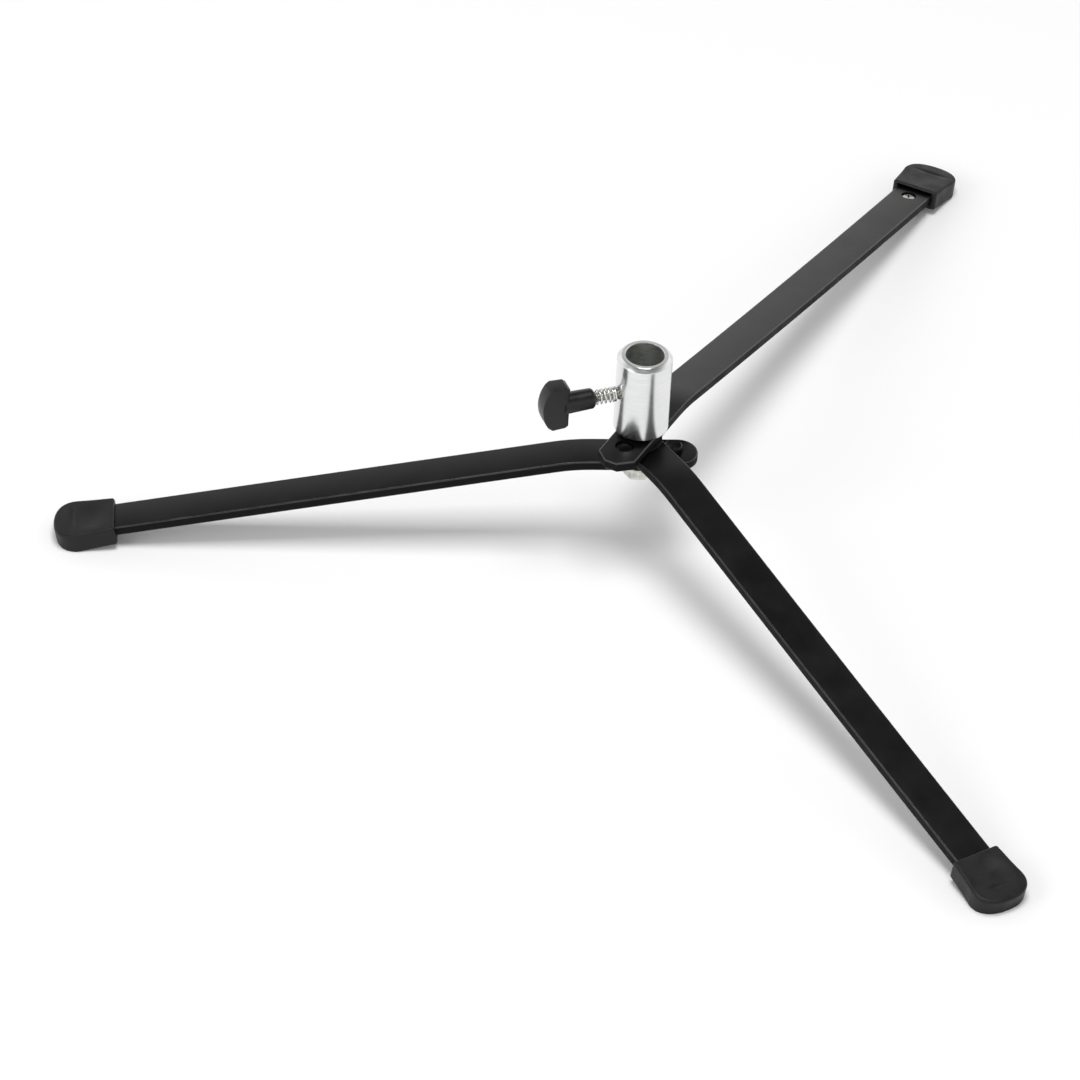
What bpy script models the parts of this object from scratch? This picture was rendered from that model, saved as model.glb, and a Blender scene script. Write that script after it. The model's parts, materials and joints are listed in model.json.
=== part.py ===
"""Folding floor stand base: three flat legs on one pivot bolt, with a clamping socket for a 16 mm spigot.

The origin is the spigot seat, the flat floor of the socket's bore, on the pivot axis. +Z is up, and +X
runs out along the top leg. The middle leg stands at -120 degrees and the bottom leg at +120 degrees.
"""
import math

import bmesh
import bpy
from mathutils import Matrix, Vector

# ---- driving dimensions, in metres and degrees ----
GAP = 0.0003                 # left between touching pieces
OVERSHOOT = 0.001            # cutters and joining pieces run on this far

LEG_WIDTH = 0.0168
LEG_THICKNESS = 0.0045
LEG_EDGE = 0.0008            # rounding of the bar's long edges
LEG_REACH = {"top": 0.3098, "middle": 0.2748, "bottom": 0.2464}     # pivot axis to the tip of the foot
LEG_ANGLE = {"top": 0.0, "middle": -120.0, "bottom": 120.0}
LEG_HEIGHT = {"top": 0.0591, "middle": 0.0529, "bottom": 0.0472}    # upper face at the hub, above the floor
BEND_START = 0.020           # the leg leaves the level hub plate here
BEND_END = 0.036
BEND_SLOPE = {"top": 0.208, "middle": 0.201, "bottom": 0.190}       # fall per run just after the bend
FOOT_SLOPE = 0.208           # fall per run near the foot
STATION_STEP = 0.016         # spacing of the cross cuts that follow the leg's curve

PIVOT_RADIUS = 0.0032        # quarter-inch bolt
HOLE_RADIUS = PIVOT_RADIUS + GAP
TAIL_LENGTH = {"top": 0.0272, "middle": LEG_WIDTH / 2, "bottom": 0.0250}
TAIL_TAPER_LENGTH = 0.0050   # the top leg's tail narrows over this length
TAIL_TAPER_WIDTH = 0.0055

STOP_PITCH = 0.0145          # pivot axis to stop pin axis
STOP_RADIUS = 0.00375
STOP_RISE = 0.0032           # how far a stop pin stands out of its leg
STOP_RECESS = 0.0010         # the top pin's head lies this far under the leg's face
STOP_CHAMFER = 0.0004

UPPER_WASHER_THICKNESS = 0.0011
LOWER_WASHER_THICKNESS = 0.0006
WASHER_RADIUS = 0.0095
SOCKET_WASHER_THICKNESS = 0.0012
HEAD_WASHER_THICKNESS = 0.0012
HEAD_WASHER_RADIUS = 0.0080
HEAD_HEIGHT = 0.0053
HEAD_ACROSS_FLATS = 0.0111
HEAD_CHAMFER = 0.0005
HEAD_CHAMFER_HEIGHT = 0.0010
SHANK_CHAMFER = 0.0005

SOCKET_RADIUS = 0.0116
SOCKET_HEIGHT = 0.0368
SOCKET_BASE = 0.0120         # solid base under the bore
SOCKET_SHOULDER = 0.0016     # rounding of the outer upper edge
SOCKET_FOOT = 0.0004
BORE_RADIUS = 0.00815
BORE_CHAMFER = 0.0005
BOLT_WEB = 0.0028            # metal left between the bolt's end and the seat

CLAMP_ANGLE = 138.0
CLAMP_HEIGHT = 0.0191        # clamp axis above the socket's lower face
STUD_RADIUS = 0.0021
STUD_TIP = BORE_RADIUS + GAP
STUD_END = 0.0320
STUD_CHAMFER = 0.0005
SLEEVE_START = 0.0222
SLEEVE_END = 0.0360
SLEEVE_RADIUS_IN = 0.0044
SLEEVE_RADIUS_OUT = 0.0047
SLEEVE_ROUND = 0.0016         # rounding of the sleeve's end by the spring
WING_START = 0.0342
WING_END = 0.0458
WING_LENGTH = 0.0214
WING_WIDTH = 0.0080
WING_END_DEPTH = 0.0078      # depth of the wing at its two ends
WING_CORNER = 0.0020
WING_TAPER = 0.0005          # the ends lean in this much toward the sleeve
WING_EDGE = 0.0012
SPRING_RADIUS = 0.00290      # centre line of the wire
WIRE_RADIUS = 0.00042
SPRING_OPEN_TURNS = 3.75
SPRING_CLOSE_TURNS = 2.0
SPRING_CLOSE_PITCH = 0.00095

CAP_LENGTH = 0.0262
CAP_WIDTH_MOUTH = 0.0215
CAP_WIDTH_TIP = 0.0250
CAP_HEIGHT = 0.0090
CAP_EDGE = 0.0012
CAP_SOLE_DEPTH = 0.0005      # the tilted underside is ground flat this far up at the leg's end
CAP_NOSE = 0.0100            # length of the round nose
CAP_NOSE_POWER = 0.85        # below one makes the nose squarer than an ellipse
CAP_MOUTH_OVERSHOOT = 0.002  # the mouth of the tilted cap is cut this far out
SEATED_DEPTH = 0.0178        # how far the middle and bottom legs reach into their caps
SLIPPED_DEPTH = 0.0082       # the top leg's cap has slipped out
SNUG_FLOOR = 0.0026
LOOSE_FLOOR = 0.0020
LOOSE_ROOM = 0.0013          # open height above the top leg inside its cap

SCREW_FROM_END = 0.0142      # screw axis to the leg's end
SCREW_HEAD_RADIUS = 0.0031
SCREW_HEAD_HEIGHT = 0.0013
SCREW_RADIUS = 0.0020
SCREW_CROSS_LENGTH = 0.0034
SCREW_CROSS_WIDTH = 0.0008
SCREW_CROSS_DEPTH = 0.0007
SCREW_CROWN = 0.0004

ROUND_STEPS = 48
SMALL_STEPS = 24

# ---- heights that follow from them, above the floor ----
SOCKET_BOTTOM = LEG_HEIGHT["top"] + SOCKET_WASHER_THICKNESS + 2 * GAP
SEAT_HEIGHT = SOCKET_BOTTOM + SOCKET_BASE


def up(height):
    """Turn a height above the floor into the model's z, which is zero at the spigot seat."""
    return height - SEAT_HEIGHT


# ---- helpers ----
def material(name, color, roughness, metallic):
    found = bpy.data.materials.get(name)
    if found:
        return found
    made = bpy.data.materials.new(name)
    made.use_nodes = True
    shader = made.node_tree.nodes["Principled BSDF"]
    shader.inputs["Base Color"].default_value = (*color, 1.0)
    shader.inputs["Roughness"].default_value = roughness
    shader.inputs["Metallic"].default_value = metallic
    return made


def black_paint():
    return material("black_paint", (0.012, 0.012, 0.012), 0.42, 0.0)


def zinc():
    return material("zinc", (0.62, 0.63, 0.60), 0.34, 1.0)


def polished_aluminium():
    return material("polished_aluminium", (0.83, 0.84, 0.85), 0.16, 1.0)


def black_rubber():
    return material("black_rubber", (0.020, 0.020, 0.021), 0.62, 0.0)


def black_plastic():
    return material("black_plastic", (0.018, 0.018, 0.018), 0.40, 0.0)


def nylon():
    return material("nylon", (0.03, 0.03, 0.03), 0.5, 0.0)


def spring_steel():
    return material("spring_steel", (0.72, 0.72, 0.70), 0.22, 1.0)


def pivot_empty(name, angle_deg=0.0):
    empty = bpy.data.objects.new(name, None)
    bpy.context.collection.objects.link(empty)
    empty.rotation_euler = (0.0, 0.0, math.radians(angle_deg))
    return empty


def place(name, bm, look, parent=None, smooth_deg=35.0):
    """Write a bmesh to a named object with outward faces and smooth shading up to the given angle."""
    bmesh.ops.recalc_face_normals(bm, faces=bm.faces)
    mesh = bpy.data.meshes.new(name)
    bm.to_mesh(mesh)
    bm.free()
    mesh.shade_smooth()
    mesh.set_sharp_from_angle(angle=math.radians(smooth_deg))
    made = bpy.data.objects.new(name, mesh)
    made.data.materials.append(look)
    made.parent = parent
    bpy.context.collection.objects.link(made)
    return made


def cut(target, cutter, operation="DIFFERENCE"):
    """Cut or join with an EXACT Boolean; the cutter stays as a hidden guide."""
    cutter.hide_render = True
    cutter.display_type = "WIRE"
    boolean = target.modifiers.new(cutter.name, "BOOLEAN")
    boolean.operation = operation
    boolean.solver = "EXACT"
    boolean.object = cutter


def lathe(outline, steps, closed=False):
    """Turn (radius, z) points about Z; open outlines start and end on the axis, closed ones make a ring."""
    bm = bmesh.new()
    rings = []
    for radius, z in outline:
        if radius == 0.0:
            rings.append([bm.verts.new((0.0, 0.0, z))])
            continue
        angles = [2 * math.pi * step / steps for step in range(steps)]
        rings.append([bm.verts.new((radius * math.cos(a), radius * math.sin(a), z)) for a in angles])
    pairs = list(zip(rings, rings[1:]))
    if closed:
        pairs.append((rings[-1], rings[0]))
    for lower, upper in pairs:
        for step in range(steps):
            following = (step + 1) % steps
            corners = [lower[step % len(lower)], lower[following % len(lower)],
                       upper[following % len(upper)], upper[step % len(upper)]]
            bm.faces.new(list(dict.fromkeys(corners)))
    return bm


def extrude_outline(points, low, high):
    """Make a prism from a closed (x, y) outline between two heights."""
    bm = bmesh.new()
    base = bm.faces.new([bm.verts.new((x, y, low)) for x, y in points])
    top = bmesh.ops.extrude_face_region(bm, geom=[base])["geom"]
    moved = [item for item in top if isinstance(item, bmesh.types.BMVert)]
    bmesh.ops.translate(bm, verts=moved, vec=(0.0, 0.0, high - low))
    bmesh.ops.recalc_face_normals(bm, faces=bm.faces)
    return bm


def round_edges(bm, width, segments, least_deg=60.0):
    """Bevel the edges whose faces meet at more than least_deg."""
    limit = math.radians(least_deg)
    edges = [e for e in bm.edges if len(e.link_faces) == 2 and e.calc_face_angle() > limit]
    bmesh.ops.bevel(bm, geom=edges, offset=width, segments=segments, profile=0.5, affect="EDGES",
                    clamp_overlap=True)


def arc(centre, radius, start_deg, end_deg, steps):
    """Points on a circle from start to end, both included."""
    points = []
    for step in range(steps + 1):
        a = math.radians(start_deg + (end_deg - start_deg) * step / steps)
        points.append((centre[0] + radius * math.cos(a), centre[1] + radius * math.sin(a)))
    return points


def rod(radius, low, high, steps=SMALL_STEPS, chamfer=0.0):
    """A cylinder on Z with optional end chamfers."""
    if chamfer:
        outline = [(0.0, low), (radius - chamfer, low), (radius, low + chamfer),
                   (radius, high - chamfer), (radius - chamfer, high), (0.0, high)]
    else:
        outline = [(0.0, low), (radius, low), (radius, high), (0.0, high)]
    return lathe(outline, steps)


def ring(inner, outer, low, high, steps=ROUND_STEPS):
    return lathe([(inner, low), (outer, low), (outer, high), (inner, high)], steps, closed=True)


# ---- legs ----
def leg_end(leg):
    """Run from the pivot axis to the leg's own end, inside its cap."""
    return LEG_REACH[leg] - CAP_LENGTH + (SLIPPED_DEPTH if leg == "top" else SEATED_DEPTH)


def cap_floor(leg):
    return LOOSE_FLOOR if leg == "top" else SNUG_FLOOR


def sole_line(leg):
    """Height of the cap's tilted underside at the leg's end; below zero where the sole is ground flat."""
    seated_end = LEG_REACH[leg] - CAP_LENGTH + SEATED_DEPTH
    return (seated_end - leg_end(leg)) * FOOT_SLOPE - CAP_SOLE_DEPTH


def end_height(leg):
    """Upper face of the leg at its end: sole, cap floor, gap and bar thickness."""
    return sole_line(leg) + cap_floor(leg) + GAP + LEG_THICKNESS


def tail_curvature(leg):
    """Growth of slope per run that brings the leg from the bend down to its end height."""
    run = leg_end(leg) - BEND_END
    fall = LEG_HEIGHT[leg] - end_height(leg) - BEND_SLOPE[leg] * (BEND_END - BEND_START) / 2
    return 2 * (fall - BEND_SLOPE[leg] * run) / run ** 2


def leg_slope(leg, run):
    if run <= BEND_START:
        return 0.0
    if run <= BEND_END:
        return BEND_SLOPE[leg] * (run - BEND_START) / (BEND_END - BEND_START)
    return BEND_SLOPE[leg] + tail_curvature(leg) * (run - BEND_END)


def leg_face(leg, run):
    """Height of the leg's upper face above the floor at a run from the pivot axis."""
    if run <= BEND_START:
        return LEG_HEIGHT[leg]
    if run <= BEND_END:
        return LEG_HEIGHT[leg] - leg_slope(leg, run) * (run - BEND_START) / 2
    beyond = run - BEND_END
    bend_fall = BEND_SLOPE[leg] * (BEND_END - BEND_START) / 2
    return LEG_HEIGHT[leg] - bend_fall - BEND_SLOPE[leg] * beyond - tail_curvature(leg) * beyond ** 2 / 2


def leg_point(leg, run, across, depth):
    """Place a point given along, across and below the leg's upper face."""
    angle = math.atan(leg_slope(leg, run))
    return Vector((run - depth * math.sin(angle), across, up(leg_face(leg, run)) - depth * math.cos(angle)))


def leg_outline(leg):
    """Plan of the leg, counterclockwise from the foot end."""
    half = LEG_WIDTH / 2
    end = leg_end(leg)
    tail = TAIL_LENGTH[leg]
    if leg == "top":
        narrow = half - TAIL_TAPER_WIDTH
        shoulder = TAIL_TAPER_LENGTH - tail
        back = [(shoulder, half), (-tail, narrow), (-tail, -narrow), (shoulder, -half)]
    else:
        back = arc((half - tail, 0.0), half, 90.0, 270.0, 14)
    return [(end, -half), (end, half)] + back


def make_leg(leg, hub):
    bm = extrude_outline(leg_outline(leg), -LEG_THICKNESS, 0.0)
    stations = [BEND_START, (BEND_START + BEND_END) / 2, BEND_END]
    count = round((leg_end(leg) - BEND_END) / STATION_STEP)
    stations += [BEND_END + (leg_end(leg) - BEND_END) * step / count for step in range(1, count)]
    for run in stations:
        everything = bm.verts[:] + bm.edges[:] + bm.faces[:]
        bmesh.ops.bisect_plane(bm, geom=everything, plane_co=(run, 0.0, 0.0), plane_no=(1.0, 0.0, 0.0))
    for vert in bm.verts:
        vert.co = leg_point(leg, vert.co.x, vert.co.y, -vert.co.z)
    round_edges(bm, LEG_EDGE, 2)
    made = place(leg + "_leg", bm, black_paint(), hub)
    upper = up(LEG_HEIGHT[leg])
    lower = upper - LEG_THICKNESS
    pivot_hole = rod(HOLE_RADIUS, lower - OVERSHOOT, upper + OVERSHOOT)
    cut(made, place(leg + "_pivot_cutter", pivot_hole, black_paint(), hub))
    if leg != "middle":
        stop_hole = rod(STOP_RADIUS + GAP, lower - OVERSHOOT, upper + OVERSHOOT)
        bmesh.ops.translate(stop_hole, verts=stop_hole.verts, vec=(-STOP_PITCH, 0.0, 0.0))
        cut(made, place(leg + "_stop_cutter", stop_hole, black_paint(), hub))
    counterbore = SCREW_HEAD_HEIGHT + 2 * GAP
    below = -LEG_THICKNESS - OVERSHOOT
    screw_hole = lathe([(0.0, below), (SCREW_RADIUS + GAP, below), (SCREW_RADIUS + GAP, -counterbore),
                        (SCREW_HEAD_RADIUS + GAP, -counterbore), (SCREW_HEAD_RADIUS + GAP, OVERSHOOT),
                        (0.0, OVERSHOOT)], SMALL_STEPS)
    bmesh.ops.transform(screw_hole, verts=screw_hole.verts, matrix=screw_matrix(leg))
    cut(made, place(leg + "_screw_cutter", screw_hole, black_paint(), hub))
    return made


# ---- foot screws and caps ----
def tangent_matrix(leg, run):
    """Frame on the leg's upper face: X down along the leg, Y across it, Z out of the face."""
    angle = math.atan(leg_slope(leg, run))
    return Matrix.Translation(leg_point(leg, run, 0.0, 0.0)) @ Matrix.Rotation(angle, 4, "Y")


def screw_matrix(leg):
    return tangent_matrix(leg, leg_end(leg) - SCREW_FROM_END)


def make_screw(leg, hub):
    head_top = -GAP
    head_low = head_top - SCREW_HEAD_HEIGHT
    tail = -LEG_THICKNESS
    bm = lathe([(0.0, tail), (SCREW_RADIUS, tail), (SCREW_RADIUS, head_low), (SCREW_HEAD_RADIUS, head_low),
                (SCREW_HEAD_RADIUS, head_top - SCREW_CROWN), (SCREW_HEAD_RADIUS - 2 * SCREW_CROWN, head_top),
                (0.0, head_top)], SMALL_STEPS)
    bmesh.ops.transform(bm, verts=bm.verts, matrix=screw_matrix(leg))
    made = place(leg + "_foot_screw", bm, zinc(), hub)
    long_half = SCREW_CROSS_LENGTH / 2
    thin_half = SCREW_CROSS_WIDTH / 2
    cross = [(long_half, -thin_half), (long_half, thin_half), (thin_half, thin_half), (thin_half, long_half),
             (-thin_half, long_half), (-thin_half, thin_half), (-long_half, thin_half),
             (-long_half, -thin_half), (-thin_half, -thin_half), (-thin_half, -long_half),
             (thin_half, -long_half), (thin_half, -thin_half)]
    slots = extrude_outline(cross, head_top - SCREW_CROSS_DEPTH, head_top + OVERSHOOT)
    bmesh.ops.transform(slots, verts=slots.verts, matrix=screw_matrix(leg))
    cut(made, place(leg + "_cross_cutter", slots, zinc(), hub))
    return made


def cap_outline():
    """Plan of the rubber cap: the mouth at x = 0, a slow flare, and a round nose."""
    mouth = CAP_WIDTH_MOUTH / 2
    wide = CAP_WIDTH_TIP / 2
    shoulder = CAP_LENGTH - CAP_NOSE
    nose = []
    for x, y in arc((0.0, 0.0), 1.0, 90.0, -90.0, 12):
        forward = abs(x) ** CAP_NOSE_POWER
        sideways = math.copysign(abs(y) ** CAP_NOSE_POWER, y)
        nose.append((shoulder + CAP_NOSE * forward, wide * sideways))
    return [(0.0, mouth)] + nose + [(0.0, -mouth)]


def make_cap(leg, hub):
    """A rubber cap over the leg's end, tilted with the leg and flat where it stands on the floor."""
    depth = leg_end(leg) - (LEG_REACH[leg] - CAP_LENGTH)
    frame = tangent_matrix(leg, leg_end(leg)) @ Matrix.Translation((-depth, 0.0, 0.0))
    low = -LEG_THICKNESS - GAP - cap_floor(leg)
    bm = extrude_outline(cap_outline(), low, low + CAP_HEIGHT)
    round_edges(bm, CAP_EDGE, 2)
    bmesh.ops.transform(bm, verts=bm.verts, matrix=frame)
    everything = bm.verts[:] + bm.edges[:] + bm.faces[:]
    sliced = bmesh.ops.bisect_plane(bm, geom=everything, plane_co=(0.0, 0.0, up(0.0)),
                                    plane_no=(0.0, 0.0, 1.0), clear_inner=True)
    rim = [item for item in sliced["geom_cut"] if isinstance(item, bmesh.types.BMEdge)]
    bmesh.ops.holes_fill(bm, edges=rim)
    made = place(leg + "_foot_cap", bm, black_rubber(), hub)
    room = LOOSE_ROOM if leg == "top" else GAP
    half = LEG_WIDTH / 2 + GAP
    mouth = -CAP_MOUTH_OVERSHOOT
    pocket_plan = [(mouth, -half), (depth + GAP, -half), (depth + GAP, half), (mouth, half)]
    pocket = extrude_outline(pocket_plan, -LEG_THICKNESS - GAP, room)
    bmesh.ops.transform(pocket, verts=pocket.verts, matrix=frame)
    cut(made, place(leg + "_pocket_cutter", pocket, black_rubber(), hub))
    return made


# ---- pivot stack ----
def make_stop_pins(hubs):
    """The top leg's pin hangs down beside the middle leg; the bottom leg's pin stands up beside it."""
    top_face = up(LEG_HEIGHT["top"])
    low_face = up(LEG_HEIGHT["bottom"])
    spans = {"top": (top_face - LEG_THICKNESS - STOP_RISE, top_face - STOP_RECESS),
             "bottom": (low_face - LEG_THICKNESS, low_face + STOP_RISE)}
    for leg, (low, high) in spans.items():
        pin = rod(STOP_RADIUS, low, high, chamfer=STOP_CHAMFER)
        bmesh.ops.translate(pin, verts=pin.verts, vec=(-STOP_PITCH, 0.0, 0.0))
        place(leg + "_stop_pin", pin, black_paint(), hubs[leg])


def make_washers(hub):
    """A friction washer midway between each two legs, one under the socket and one on the bolt's head."""
    for name, above, below, thickness in (("upper_friction_washer", "top", "middle", UPPER_WASHER_THICKNESS),
                                          ("lower_friction_washer", "middle", "bottom", LOWER_WASHER_THICKNESS)):
        low = up((LEG_HEIGHT[above] - LEG_THICKNESS + LEG_HEIGHT[below] - thickness) / 2)
        place(name, ring(HOLE_RADIUS, WASHER_RADIUS, low, low + thickness), nylon(), hub)
    socket_low = up(LEG_HEIGHT["top"]) + GAP
    socket_high = socket_low + SOCKET_WASHER_THICKNESS
    place("socket_washer", ring(HOLE_RADIUS, WASHER_RADIUS, socket_low, socket_high), nylon(), hub)
    head_high = up(LEG_HEIGHT["bottom"]) - LEG_THICKNESS - GAP
    head_low = head_high - HEAD_WASHER_THICKNESS
    place("head_washer", ring(HOLE_RADIUS, HEAD_WASHER_RADIUS, head_low, head_high), zinc(), hub)


def make_pivot_bolt(hub):
    """Hexagon head under the legs, shank up through all three into the socket's base."""
    shoulder = up(LEG_HEIGHT["bottom"]) - LEG_THICKNESS - 2 * GAP - HEAD_WASHER_THICKNESS
    low = shoulder - HEAD_HEIGHT
    end = -BOLT_WEB - GAP
    corner = HEAD_ACROSS_FLATS / math.sqrt(3)
    hexagon = arc((0.0, 0.0), corner, 0.0, 300.0, 5)
    head = place("pivot_bolt", extrude_outline(hexagon, low, shoulder), zinc(), hub)
    face_radius = HEAD_ACROSS_FLATS / 2 - HEAD_CHAMFER
    wide = corner + OVERSHOOT
    trim = lathe([(0.0, low), (face_radius, low), (wide, low + HEAD_CHAMFER_HEIGHT),
                  (wide, shoulder + OVERSHOOT), (0.0, shoulder + OVERSHOOT)], ROUND_STEPS)
    cut(head, place("head_trim", trim, zinc(), hub), "INTERSECT")
    shank = rod(PIVOT_RADIUS, shoulder - OVERSHOOT, end, chamfer=SHANK_CHAMFER)
    cut(head, place("shank_guide", shank, zinc(), hub), "UNION")
    return head


# ---- socket ----
def make_socket(hub):
    """Turned receiver: blind bore above, blind bolt hole below, and a cross hole for the clamp stud."""
    low = up(SOCKET_BOTTOM)
    high = low + SOCKET_HEIGHT
    shoulder = arc((SOCKET_RADIUS - SOCKET_SHOULDER, high - SOCKET_SHOULDER), SOCKET_SHOULDER, 0.0, 90.0, 4)
    outline = [(0.0, -BOLT_WEB), (HOLE_RADIUS, -BOLT_WEB), (HOLE_RADIUS, low),
               (SOCKET_RADIUS - SOCKET_FOOT, low), (SOCKET_RADIUS, low + SOCKET_FOOT)]
    outline += shoulder
    outline += [(BORE_RADIUS + BORE_CHAMFER, high), (BORE_RADIUS, high - BORE_CHAMFER), (BORE_RADIUS, 0.0),
                (0.0, 0.0)]
    made = place("socket", lathe(outline, ROUND_STEPS), polished_aluminium(), hub)
    hole = rod(STUD_RADIUS + GAP, BORE_RADIUS / 2, SOCKET_RADIUS + OVERSHOOT)
    bmesh.ops.transform(hole, verts=hole.verts, matrix=clamp_matrix())
    cut(made, place("clamp_hole_cutter", hole, polished_aluminium(), hub))
    return made


# ---- clamp screw ----
def clamp_matrix():
    """Z of the clamp parts points out along the screw, and X points up."""
    height = up(SOCKET_BOTTOM) + CLAMP_HEIGHT
    outward = Matrix.Rotation(math.radians(CLAMP_ANGLE), 4, "Z")
    lay_down = Matrix(((0.0, 0.0, 1.0), (0.0, -1.0, 0.0), (1.0, 0.0, 0.0))).to_4x4()
    return Matrix.Translation((0.0, 0.0, height)) @ outward @ lay_down


def clamp_empty():
    empty = pivot_empty("clamp_axis")
    empty.matrix_world = clamp_matrix()
    return empty


def make_stud(axis):
    return place("clamp_stud", rod(STUD_RADIUS, STUD_TIP, STUD_END, chamfer=STUD_CHAMFER), zinc(), axis)


def wing_outline():
    """Side view of the wing: straight inner face, arched outer face and rounded ends (x up, y outward)."""
    half = WING_LENGTH / 2
    flat = half - WING_CORNER
    rise = WING_END - WING_START - WING_END_DEPTH
    crown_radius = (half ** 2 + rise ** 2) / (2 * rise)
    swing = math.degrees(math.asin(flat / crown_radius))
    crown = arc((0.0, WING_END - crown_radius), crown_radius, 90.0 - swing, 90.0 + swing, 10)
    inner_corner = WING_START + WING_CORNER
    outer_corner = WING_START + WING_END_DEPTH - WING_CORNER / 2
    inner = [(WING_TAPER - half, inner_corner), (-flat, WING_START), (flat, WING_START),
             (half - WING_TAPER, inner_corner)]
    return inner + [(half, outer_corner)] + crown + [(-half, outer_corner)]


def make_knob(axis):
    """Moulded knob: a tapered sleeve joined to a wing, with a blind hole for the stud."""
    corner = (SLEEVE_RADIUS_IN - SLEEVE_ROUND, SLEEVE_START + SLEEVE_ROUND)
    outline = [(0.0, SLEEVE_START)] + arc(corner, SLEEVE_ROUND, -90.0, 0.0, 5)
    outline += [(SLEEVE_RADIUS_OUT, SLEEVE_END), (0.0, SLEEVE_END)]
    sleeve = lathe(outline, ROUND_STEPS)
    made = place("clamp_knob", sleeve, black_plastic(), axis)
    wing = extrude_outline(wing_outline(), -WING_WIDTH / 2, WING_WIDTH / 2)
    round_edges(wing, WING_EDGE, 2)
    stand = Matrix(((1.0, 0.0, 0.0), (0.0, 0.0, -1.0), (0.0, 1.0, 0.0))).to_4x4()
    bmesh.ops.transform(wing, verts=wing.verts, matrix=stand)
    cut(made, place("wing_guide", wing, black_plastic(), axis), "UNION")
    hole = rod(STUD_RADIUS + GAP, SLEEVE_START - OVERSHOOT, STUD_END + GAP)
    cut(made, place("knob_hole_cutter", hole, black_plastic(), axis))
    return made


def spring_height(turn):
    """Height of the wire's centre at a turn: close coils by the socket, then open coils."""
    start = SOCKET_RADIUS + GAP + WIRE_RADIUS
    finish = SLEEVE_START - GAP - WIRE_RADIUS
    if turn <= SPRING_CLOSE_TURNS:
        return start + SPRING_CLOSE_PITCH * turn
    open_start = start + SPRING_CLOSE_PITCH * SPRING_CLOSE_TURNS
    return open_start + (finish - open_start) * (turn - SPRING_CLOSE_TURNS) / SPRING_OPEN_TURNS


def make_spring(axis):
    turns = SPRING_CLOSE_TURNS + SPRING_OPEN_TURNS
    count = round(turns * 14)
    curve = bpy.data.curves.new("clamp_spring", "CURVE")
    curve.dimensions = "3D"
    curve.bevel_depth = WIRE_RADIUS
    curve.bevel_resolution = 1
    curve.use_fill_caps = True
    spline = curve.splines.new("POLY")
    spline.points.add(count)
    for index, point in enumerate(spline.points):
        turn = turns * index / count
        a = 2 * math.pi * turn
        point.co = (SPRING_RADIUS * math.cos(a), SPRING_RADIUS * math.sin(a), spring_height(turn), 1.0)
    made = bpy.data.objects.new("clamp_spring", curve)
    made.data.materials.append(spring_steel())
    made.parent = axis
    bpy.context.collection.objects.link(made)
    return made


def build():
    for old in list(bpy.data.objects):
        bpy.data.objects.remove(old, do_unlink=True)
    hubs = {leg: pivot_empty(leg + "_hub", LEG_ANGLE[leg]) for leg in LEG_ANGLE}
    for leg, hub in hubs.items():
        make_leg(leg, hub)
        make_screw(leg, hub)
        make_cap(leg, hub)
    make_stop_pins(hubs)
    make_washers(hubs["top"])
    make_pivot_bolt(hubs["top"])
    make_socket(hubs["top"])
    axis = clamp_empty()
    make_stud(axis)
    make_knob(axis)
    make_spring(axis)


build()
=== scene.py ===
# %% [markdown]
# A folding floor stand base: three black steel bars fan out from one pivot bolt, and a polished aluminium
# socket with a sprung thumb screw stands on the bolt to hold a lamp's spigot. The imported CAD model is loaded
# first, as a fixed frame in metres. Every finer piece made below is placed in that same frame.

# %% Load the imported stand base
import json
import math

import bmesh
import bpy
from mathutils import Matrix, Vector


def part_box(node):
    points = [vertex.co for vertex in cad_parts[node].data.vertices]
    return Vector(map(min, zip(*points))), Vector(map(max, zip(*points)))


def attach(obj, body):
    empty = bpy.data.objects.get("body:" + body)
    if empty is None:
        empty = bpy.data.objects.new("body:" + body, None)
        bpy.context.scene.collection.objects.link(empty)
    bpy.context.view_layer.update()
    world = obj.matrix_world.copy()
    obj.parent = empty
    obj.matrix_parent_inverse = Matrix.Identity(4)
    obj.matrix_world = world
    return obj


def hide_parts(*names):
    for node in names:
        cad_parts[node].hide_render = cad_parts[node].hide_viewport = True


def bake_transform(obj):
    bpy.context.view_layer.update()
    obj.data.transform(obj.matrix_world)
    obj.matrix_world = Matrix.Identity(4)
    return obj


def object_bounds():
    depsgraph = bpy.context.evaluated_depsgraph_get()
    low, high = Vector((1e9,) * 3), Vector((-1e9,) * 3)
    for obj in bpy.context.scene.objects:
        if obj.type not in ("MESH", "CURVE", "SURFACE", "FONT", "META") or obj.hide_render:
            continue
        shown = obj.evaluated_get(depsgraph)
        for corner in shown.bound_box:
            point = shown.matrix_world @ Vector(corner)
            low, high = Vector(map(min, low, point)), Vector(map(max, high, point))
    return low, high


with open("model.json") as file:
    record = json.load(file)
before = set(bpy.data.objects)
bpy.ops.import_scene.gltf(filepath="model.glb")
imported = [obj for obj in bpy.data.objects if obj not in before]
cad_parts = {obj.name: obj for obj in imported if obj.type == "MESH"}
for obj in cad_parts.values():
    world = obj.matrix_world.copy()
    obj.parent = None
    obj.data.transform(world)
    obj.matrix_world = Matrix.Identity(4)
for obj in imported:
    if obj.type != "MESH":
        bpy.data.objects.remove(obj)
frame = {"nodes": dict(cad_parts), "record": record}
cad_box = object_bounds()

FLOOR_Z = cad_box[0].z
print("floor at", round(FLOOR_Z, 4), "m, object", [round(v, 4) for v in cad_box[1] - cad_box[0]])

# %% [markdown]
# The camera is a long lens from the front left, well above the stand. It could be placed by a point and a
# target object, but an aim point, two angles, a distance and a small roll say the same in numbers that can be
# changed one at a time. The far distance keeps the three legs in nearly parallel perspective.

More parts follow.
